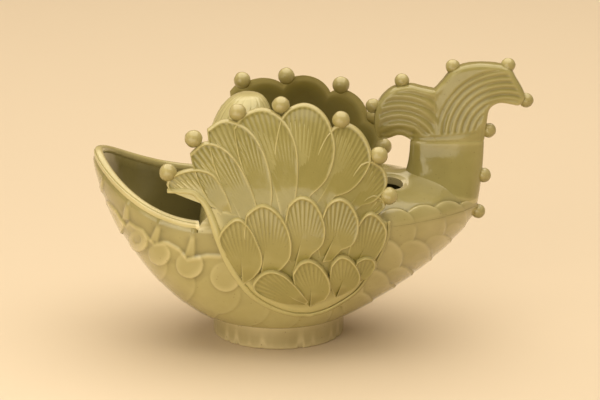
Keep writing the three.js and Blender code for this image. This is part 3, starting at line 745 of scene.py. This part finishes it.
def edge_distance(x, z, outline):
    """How far points of the side view lie from the outline."""
    best = np.full(len(x), 1e9)
    for (ax, az), (bx, bz) in zip(outline, np.roll(outline, -1, 0)):
        dx, dz = bx - ax, bz - az
        t = np.clip(((x - ax) * dx + (z - az) * dz) / max(dx * dx + dz * dz, 1e-9), 0, 1)
        best = np.minimum(best, np.hypot(x - ax - t * dx, z - az - t * dz))
    return best


def raked(x, z, middle_x, middle_z, pitch, near, far):
    """How deep the comb has cut here, from 0 on its ridges to 1 in its grooves."""
    radius = np.hypot(x - middle_x, z - middle_z)
    groove = 0.5 + 0.5 * np.cos(2 * math.pi * (radius - near) / pitch)
    return groove * smooth_step(near - 0.6, near + 0.4, radius) * smooth_step(far + 0.5, far - 0.3, radius)


def tail_face(x, z, outline):
    """Half of the tail's thickness at places of its side view. At the stem it is as round as this."""
    inner = edge_distance(x, z, outline)
    inner = np.where((z - FIN_BOTTOM < inner + 0.01) & (z < FIN_BOTTOM + FIN_EDGE), FIN_EDGE, inner)
    rounded = np.sqrt(1 - (1 - np.clip(inner / FIN_EDGE, 0, 1)) ** 2)
    plate = FIN_THICKNESS / 2 - FIN_EDGE * (1 - rounded)
    sideways = np.abs((x - stem_middle) / (STEM_REAR - STEM_FRONT) * 2)
    rootwise = FIN_THICKNESS / 2 * np.clip(1 - sideways ** (2 / STEM_SQUARE), 0.15, 1) ** (STEM_SQUARE / 2)
    over = z - np.interp(x, *np.array(INCISION).T)
    face = plate + (np.minimum(plate, rootwise) - plate) * smooth_step(FIN_BOTTOM + 6, FIN_BOTTOM, z)
    combed = smooth_step(0.8, 2.2, inner) * smooth_step(0.2, 1.6, over)
    cut = FRONT_RAKE_DEPTH * raked(x, z, *FRONT_RAKE) * smooth_step(52.5, 49.5, x)
    cut = cut + REAR_RAKE_DEPTH * raked(x, z, *REAR_RAKE) * smooth_step(51.5, 54, x)
    valley = np.exp(-(((x - VALLEY_X) / VALLEY_HALF_WIDTH) ** 2)) * smooth_step(0, 8, over)
    line = np.exp(-((over / 0.45) ** 2)) * smooth_step(66, 64, x)
    root = smooth_step(FIN_BOTTOM + 0.3, FIN_BOTTOM - 2, z)
    return (face - cut * combed - VALLEY_DEPTH * valley * smooth_step(0, 2, inner)
            - INCISION_DEPTH * line - 0.8 * root)


tail_outline = np.concatenate([smooth_line(FRONT_LOBE)[:-1], smooth_line(REAR_LOBE)])


def tail_lobe(name, corners, toward, sunk, node_name):
    """One lobe, that reaches a little past the split and down into the stem."""
    edge = smooth_line(corners)
    past = FIN_SPLIT + toward * FIN_OVERLAP
    low = FIN_BOTTOM - FIN_ROOT
    split_end, stem_end = (edge[-1], edge[0]) if toward > 0 else (edge[0], edge[-1])
    corner = [(past, split_end[1]), (past, low), (stem_end[0] + toward * FIN_ROOT, low)]
    outline = np.concatenate([edge, corner if toward > 0 else corner[::-1]])
    half = FIN_THICKNESS / 2
    count = len(outline)
    plate = np.concatenate([np.insert(outline, 1, y, axis=1) for y in (-half, half)])
    sides = [(i, (i + 1) % count, (i + 1) % count + count, i + count) for i in range(count)]
    mesh = bpy.data.meshes.new(name)
    mesh.from_pydata(
        metres(plate).tolist(), [], sides + [tuple(range(count)), tuple(range(count, 2 * count))])
    piece = bpy.data.objects.new(name, mesh)
    bpy.context.collection.objects.link(piece)
    pick(piece)
    bpy.ops.object.mode_set(mode="EDIT")
    bpy.ops.mesh.select_all(action="SELECT")
    bpy.ops.mesh.normals_make_consistent(inside=False)
    bpy.ops.object.mode_set(mode="OBJECT")
    finish_by(piece, "REMESH", mode="VOXEL", voxel_size=FIN_GRAIN * MM)
    x, y, z = ((points_of(piece) - (FOOT_X, 0, 0)) / MM).T
    y = np.clip(y / half, -1, 1) * (tail_face(x, z, tail_outline) - sunk)
    move_points(piece, metres(np.stack([x, y, z], 1)))
    finish_by(piece, "SMOOTH", factor=0.5, iterations=2)
    finish_by(piece, "SUBSURF", levels=1, render_levels=1)
    pick(piece)
    bpy.ops.object.shade_smooth()
    lay_glaze(piece, 14, 0.4)
    hand_over(piece, shaded_tail_glaze, "celadon_glaze", node_name)


tail_lobe("tail_lobe_front_raked", FRONT_LOBE, 1, 0.0, "tail_lobe_front")
tail_lobe("tail_lobe_rear_raked", REAR_LOBE, -1, 0.1, "tail_lobe_rear")


# Beads
# Little balls of clay, pressed with slip onto the edges of the tail and the wings. Each is a bit out
# of round. Its colour runs from pale at its top to dark at its bottom: painted light above and painted shade below.
WING_BEAD_RADIUS = 2.6
TAIL_BEAD_RADIUS = 2.2
BEAD_SPREAD = 0.12
TAIL_MIDDLE = (56, 0, 66)

bead_glaze = glaze("bead_glaze", (0.18, 0.15, 0.05), (0.38, 0.32, 0.12), (0.62, 0.54, 0.27), speck=0.3)
lumps = bpy.data.textures.new("bead_lumps", "CLOUDS")
lumps.noise_scale = 2.2 * MM


def bead(name, centre, radius, seat, node_name):
    """A bead pressed onto the clay, so that it is wider and deeper towards its seat."""
    centre, seat = np.asarray(centre, float), np.asarray(seat, float)
    toward = (seat - centre) / np.linalg.norm(seat - centre)
    grown = radius * (1 + BEAD_SPREAD)
    bpy.ops.mesh.primitive_ico_sphere_add(
        subdivisions=4, radius=grown * MM, location=metres(centre + toward * radius * BEAD_SPREAD))
    piece = bpy.context.object
    piece.name = name
    settle(piece)
    finish_by(piece, "DISPLACE", texture=lumps, strength=0.35 * MM, mid_level=0.7, texture_coords="LOCAL")
    round_off(piece, 180)
    points = points_of(piece)
    # Painted light and shade: the colour is paler towards the top and darker towards the bottom.
    height = (points[:, 2] - points[:, 2].min()) / np.ptp(points[:, 2])
    layer = piece.data.attributes.new("thin", "FLOAT", "POINT")
    layer.data.foreach_set("value", 0.2 + 0.65 * height)
    hand_over(piece, bead_glaze, "bead_glaze", node_name)


TAIL_BEADS = [
    (30.6, 76.7), (40, 85.2), (56.7, 90), (74.8, 90.4), (80.9, 78.6), (69, 68.4), (67.5, 53), (65.75, 40.7),
]
for number, (x, z) in enumerate(TAIL_BEADS, 1):
    bead(f"tail_bead_{number}_pressed", (x, 0, z), TAIL_BEAD_RADIUS, TAIL_MIDDLE, f"tail_bead_{number}")


# Wings
# Each wing is one pressing from a mould, luted to the body's side: a thin web with a rolled edge,
# and three rows of feathers that lie over each other like roof tiles. Every feather has a raised
# rim and fine barbs that fan out from its quill. The row's front feathers lie over the rear ones.
WING_SEAT = 0.5
WING_SPAN = 49.0
FAR_FOLD_X = -12.0
FAR_FOLD = 0.42
FAR_HEIGHT = 0.94
WING_HUB = (5, 45)
WEB_LIFT = 1.2
WEB_INSET = 0.6
RIM_WIDTH = 1.1
RIM_LIFT = 0.45
FEATHER_TILT = 0.9
FEATHER_DIVE = 0.9
FEATHER_DISH = 0.35
BARB_PITCH = 1.4
BARB_DEPTH = 0.2
ROLL_WIDTHS = (1.5, 2.6, 2.0, 1.6)
REAR_ROLL_WIDTHS = (1.6, 1.2, 1.0)
ROLL_LIFT = 1.1
TUCK = 0.3
ROOT_WIDTH = 0.16
LEFT_BEADS = [(-35, 63), (-26.8, 73.6), (-12.8, 81), (1, 83), (20.2, 78.7), (32.4, 67.5), (35.6, 54.5)]
RIGHT_BEADS = [(-30, 62), (-25, 68), (-12.8, 81), (2.5, 83), (20.9, 79.5), (32.4, 67.5), (35.4, 55.9)]

# A feather is its quill's root and then its rim, from the tucked side over the tip to the free side.
UPPER_ROW = [
    [(-15.5, 49), (-22.6, 53.8), (-25.2, 56.4), (-28, 57.4), (-34.2, 57.8), (-35.2, 60), (-33.4, 62.2),
     (-29.2, 64.2), (-24.4, 64.8), (-20, 63.2), (-16.8, 58.6), (-14.6, 53), (-14, 48.6)],
    [(-6.2, 48.6), (-27.8, 69), (-23.6, 72.4), (-18.8, 72), (-14.4, 69), (-10.8, 64.4), (-8, 58.6),
     (-6.2, 53), (-5, 48.6)],
    [(-2.4, 51.8), (-22.4, 76.2), (-17.6, 78.8), (-12.6, 78.2), (-8, 75.4), (-4.2, 70), (-2, 63.2),
     (-1.4, 57), (-1.8, 53)],
    [(5.6, 53.4), (-14, 76.8), (-11, 80.2), (-5.6, 82), (-0.6, 80.8), (3.6, 77), (6.2, 71.4), (6.8, 64.6),
     (6.4, 58.6), (5.8, 54)],
    [(8.6, 54.6), (0.8, 79), (3.8, 82), (8.6, 83.2), (13.2, 81.6), (16.6, 77.7), (18.4, 71.7), (17.8, 65.9),
     (15.4, 60.7), (10.8, 56.4)],
    [(16.6, 54.3), (15.6, 74.6), (18.6, 77), (22.4, 77.4), (26.4, 74.9), (29.2, 70.4), (29.8, 65.6), (27, 60.6),
     (23, 57.1), (18.2, 55.6)],
    [(25.4, 51.6), (26.6, 65.6), (29.8, 66.2), (33.4, 63.8), (35, 59.7), (34, 56.1), (30.8, 53.1), (26.8, 52.2)],
    [(27, 48.2), (28.6, 55), (31, 55.5), (33.6, 54), (34.4, 51.3), (32, 49), (28.8, 48.1)],
]
MIDDLE_ROW = [
    [(-9.8, 27.2), (-17, 37.6), (-18.8, 43.2), (-16.2, 47.6), (-12.4, 49.8), (-8.6, 46.8), (-6.2, 42),
     (-4.6, 36.8), (-5.2, 32.6), (-7.8, 28.8)],
    [(-2.4, 30.6), (-10, 51), (-7.4, 53.2), (-4.2, 54.2), (-0.2, 52), (3, 47.6), (4.6, 42), (4.2, 36.4),
     (1.6, 32.6)],
    [(8.6, 35), (3.4, 53.8), (5.6, 56), (8.4, 56.6), (11.8, 54.7), (14.4, 50.1), (15.4, 45.3), (14.4, 40.5),
     (11.2, 37.5)],
    [(17.6, 36.2), (15.6, 53.5), (17.8, 55.2), (20.6, 55.4), (23.6, 53.1), (25.8, 48.4), (25.8, 43.8),
     (24, 39.8), (20.4, 38.3)],
    [(26.8, 30.9), (26.2, 47.6), (28.4, 49.9), (30.8, 49.8), (33.8, 46.7), (35, 43), (34.2, 38.5),
     (32, 34.5), (29.4, 31.8)],
]
LOW_ROW = [
    [(9.4, 18.9), (7, 18.7), (0.8, 19.9), (-5, 22.7), (-8.2, 26.2), (-6.2, 30.4), (-2.4, 32.4), (2, 31),
     (5.6, 27.4), (8.4, 23.2), (10, 20)],
    [(12.2, 18.8), (4.6, 31.4), (7, 35), (10.6, 35.9), (14, 33.3), (16.6, 28.6), (17, 23.9), (15.2, 20.2)],
    [(20.6, 21.1), (17, 33.8), (19.2, 36.3), (21.6, 36.5), (24.6, 33.7), (26.6, 29.3), (26.2, 25.4), (23.8, 22.9)],
    [(26, 25.2), (25.2, 34.3), (27.8, 35.4), (30.4, 34.6), (31.6, 31.8), (30.4, 28.2)],
]
FRONT_EDGE = [
    (-35, 57.3), (-27.6, 57.6), (-24.6, 55.8), (-22.4, 53), (-20.4, 48.2), (-18.6, 42.4), (-15.8, 34.6),
    (-12, 27.4), (-7.6, 21.7), (-1.6, 17.5), (5, 14.9), (10.4, 14.2),
]
REAR_EDGE = [
    (10.4, 14.2), (15.2, 15.2), (20, 17.5), (25.4, 21.3), (29.6, 27.6), (32.6, 33.6), (35.2, 40.5), (35.6, 46.2),
]


def side_half(x, z):
    """Half-width of the body at x and z. Over the edge it leans in, as the wings do."""
    level = np.minimum(z, SIDE_EDGE)
    rear, front = np.zeros_like(level), np.ones_like(level)
    for _ in range(26):
        turn = (rear + front) / 2
        rise = edge_height(plan_x(turn)) - BODY_BOTTOM
        at = body_point(turn, np.clip((level - BODY_BOTTOM) / rise, 0, 1))
        rear = np.where(at[..., 0] > x, turn, rear)
        front = np.where(at[..., 0] > x, front, turn)
    return at[..., 1] * np.sqrt(np.clip(1 - ((z - level) / WING_SPAN) ** 2, 0, 1))


def wing_point(x, z, lift, side):
    """Place on a wing from its side view, lifted off the body. The right wing is curled in and lower."""
    if side > 0:
        x = np.where(x < FAR_FOLD_X, FAR_FOLD_X + (x - FAR_FOLD_X) * FAR_FOLD, x)
        z = np.where(z > WING_HUB[1], WING_HUB[1] + (z - WING_HUB[1]) * FAR_HEIGHT, z)
    return np.stack([x, side * (side_half(x, z) + WING_SEAT + lift), z + 0 * x], -1)


def even_steps(line, count):
    """The same line as points at equal distances, and how far along each one is."""
    far = np.concatenate([[0], np.cumsum(np.linalg.norm(np.diff(line, axis=0), axis=1))])
    at = np.linspace(0, far[-1], count)
    return np.column_stack([np.interp(at, far, line[:, 0]), np.interp(at, far, line[:, 1])]), at


def feather_outline(feather, hidden):
    """Closed line from the hidden root up the tucked side, round the rim and back to the root."""
    rim = smooth_line(feather[1:])
    root = feather_root(feather, hidden)
    way = rim[0] - root
    aside = np.array([-way[1], way[0]])
    base = root + ROOT_WIDTH * aside
    middle = root + way / 2 + TUCK * aside
    t = np.linspace(0, 1, 24, endpoint=False)[:, None]
    tucked = base * (1 - t) ** 2 + 2 * middle * t * (1 - t) + rim[0] * t**2
    return np.concatenate([tucked, rim, [root, base]])


def feather_root(feather, hidden):
    """The root, moved on away from the tip by what the next row hides of it."""
    root, tip = np.array(feather[0], float), np.array(feather[len(feather) // 2], float)
    return root - (tip - root) / np.linalg.norm(tip - root) * hidden


def feather_rings(feather, bed, top, hidden, side, number):
    """Rings from a feather's middle out over its dished face and its rim, and in again under it."""
    outline, along = even_steps(feather_outline(feather, hidden), 241)
    outline, along = outline[:-1], along[:-1]
    root = feather_root(feather, hidden)
    middle = outline.mean(0)
    far = np.linalg.norm(outline - root, axis=1).max()
    way = math.atan2(*(middle - root)[::-1])
    reach = np.linalg.norm(outline - middle, axis=1)
    sided = 2 * along / along[-1] - 1
    rimmed = smooth_step(-0.72, -0.4, sided) * smooth_step(1.0, 0.8, sided)
    rimmed = rimmed * smooth_step(0.3, 0.7, np.linalg.norm(outline - root, axis=1) / far)

    def ring(share, lift):
        place = middle + (outline - middle) * share
        return wing_point(place[:, 0], place[:, 1], lift, side)

    rings = []
    for share in 1 - np.linspace(1, 0, 34) ** 1.3 + 0.01:
        share = min(share, 1.0)
        inward = (1 - share) * reach
        from_root = middle + (outline - middle) * share - root
        high = np.linalg.norm(from_root, axis=1) / far
        turn = (np.arctan2(from_root[:, 1], from_root[:, 0]) - way + math.pi) % (2 * math.pi) - math.pi
        barb = 0.5 - 0.5 * np.cos(2 * math.pi * (turn * far * 0.8 / BARB_PITCH + 0.37 * number))
        barbed = smooth_step(RIM_WIDTH * 0.7, RIM_WIDTH * 1.3, inward) * smooth_step(0.35, 0.85, high)
        rolled = np.exp(-(((inward - RIM_WIDTH * 0.5) / (RIM_WIDTH * 0.4)) ** 2)) * rimmed
        tilt = 0.5 - 0.5 * sided * share
        face = top - RIM_LIFT - FEATHER_TILT * tilt - FEATHER_DIVE * smooth_step(0.6, 1.0, tilt)
        face = face - FEATHER_DISH * (1 - share**2)
        lift = face + RIM_LIFT * rolled - BARB_DEPTH * ((1 - barb) * barbed + 0.5 * (1 - barbed))
        edge = np.sqrt(1 - (1 - np.clip(inward / 0.5, 0, 1)) ** 2)
        rings.append(ring(share, bed + np.maximum(lift - bed, 0.1) * edge * (0.4 + 0.6 * smooth_step(0, 0.3, high))))
    return rings + [ring(share, np.full_like(reach, bed)) for share in (1.0, 0.5, 0.05)]


def wing_reach(bearing, outlines):
    """How far from the hub the feathers and the web reach at these bearings."""
    best = np.zeros_like(bearing)
    ray = np.stack([np.cos(bearing), np.sin(bearing)], 1)
    for outline in outlines:
        a = outline - WING_HUB
        step = np.roll(a, -1, 0) - a
        cross = ray[:, :1] * step[None, :, 1] - ray[:, 1:] * step[None, :, 0]
        cross = np.where(np.abs(cross) < 1e-9, 1e-9, cross)
        distance = (a[None, :, 0] * step[None, :, 1] - a[None, :, 1] * step[None, :, 0]) / cross
        share = (a[None, :, 0] * ray[:, 1:] - a[None, :, 1] * ray[:, :1]) / cross
        hit = (share >= 0) & (share <= 1) & (distance > 0)
        best = np.maximum(best, np.where(hit, distance, 0).max(1))
    return best


def web_rings(side):
    plate = np.concatenate([smooth_line(FRONT_EDGE), smooth_line(REAR_EDGE)])
    outlines = [plate] + [feather_outline(feather, 0) for feather in UPPER_ROW + MIDDLE_ROW]
    bearing = np.linspace(0, 2 * math.pi, 540, endpoint=False)
    reach = wing_reach(bearing, outlines) - WEB_INSET

    def ring(share, lift):
        r = reach * share
        return wing_point(WING_HUB[0] + r * np.cos(bearing), WING_HUB[1] + r * np.sin(bearing), lift, side)

    front = [ring(share, WEB_LIFT) for share in np.linspace(0.04, 0.97, 26)]
    back = [ring(share, 0.0) for share in np.linspace(0.98, 0.04, 26)]
    return np.stack(front + [ring(1.0, WEB_LIFT * 0.75), ring(1.0, WEB_LIFT * 0.3)] + back)


def rolled_edge(corners, widths, side):
    """A roll of clay along the web's edge, with its width at the start, the middle and the end."""
    line, along = even_steps(smooth_line(corners), 160)
    way = np.gradient(line, axis=0)
    way /= np.linalg.norm(way, axis=1, keepdims=True)
    width = np.interp(along / along[-1], np.linspace(0, 1, len(widths)), widths)
    rings = []
    for angle in np.linspace(0, 2 * math.pi, 20, endpoint=False):
        off = (width / 2 * math.cos(angle))[:, None] * np.column_stack([-way[:, 1], way[:, 0]])
        place = line + off
        rings.append(wing_point(place[:, 0], place[:, 1], ROLL_LIFT + width * 0.42 * math.sin(angle), side))
    return np.stack(rings, 1)


def join_pieces(name, pieces):
    pick(pieces[0])
    for piece in pieces:
        piece.select_set(True)
    bpy.ops.object.join()
    joined = bpy.context.object
    joined.name = name
    joined.data.name = name
    return joined


def wing_row(name, row, bed, top, hidden, side, node_name):
    piece = join_pieces(name, [
        skin(f"{name}_{number}", feather_rings(feather, bed, top, hidden if number else 0, side, number))
        for number, feather in enumerate(row)])
    round_off(piece, 60)
    lay_glaze(piece, 10, 0.4)
    hand_over(piece, shaded_feather_glaze, "celadon_glaze", node_name)


# Darker copies of the celadon glaze for the feathers and the web: painted shade on the wings' faces.
shaded_feather_glaze = glaze(
    "shaded_feather_glaze", (0.15, 0.13, 0.035), (0.31, 0.265, 0.08), (0.54, 0.47, 0.21), 0.4, 0.16, 0.3, 0.2)
shaded_web_glaze = glaze("shaded_web_glaze", (0.13, 0.11, 0.03), (0.29, 0.25, 0.075), (0.50, 0.44, 0.19), 0.4, 0.2, 0.3, 0.3)
for side, wing_name, beads in ((-1, "wing_left", LEFT_BEADS), (1, "wing_right", RIGHT_BEADS)):
    rolls = [rolled_edge(FRONT_EDGE, ROLL_WIDTHS, side), rolled_edge(REAR_EDGE, REAR_ROLL_WIDTHS, side)]
    web = join_pieces(f"{wing_name}_web", [
        skin(f"{wing_name}_web_{number}", rings) for number, rings in enumerate([web_rings(side)] + rolls)])
    round_off(web, 50)
    lay_glaze(web, 8, 0.2)
    hand_over(web, shaded_web_glaze, "celadon_glaze", wing_name)
    wing_row(f"{wing_name}_upper_feathers", UPPER_ROW, 0.4, 2.5, 4, side, wing_name)
    wing_row(f"{wing_name}_middle_feathers", MIDDLE_ROW, 0.8, 3.6, 2, side, wing_name)
    wing_row(f"{wing_name}_low_feathers", LOW_ROW, 0.8, 4.8, 0, side, wing_name)
    for number, (x, z) in enumerate(beads, 1):
        bead(f"{wing_name}_bead_{number}_pressed", wing_point(float(x), float(z), 1.2, side), WING_BEAD_RADIUS,
             wing_point(*WING_HUB, 1.2, side), f"{wing_name}_bead_{number}")
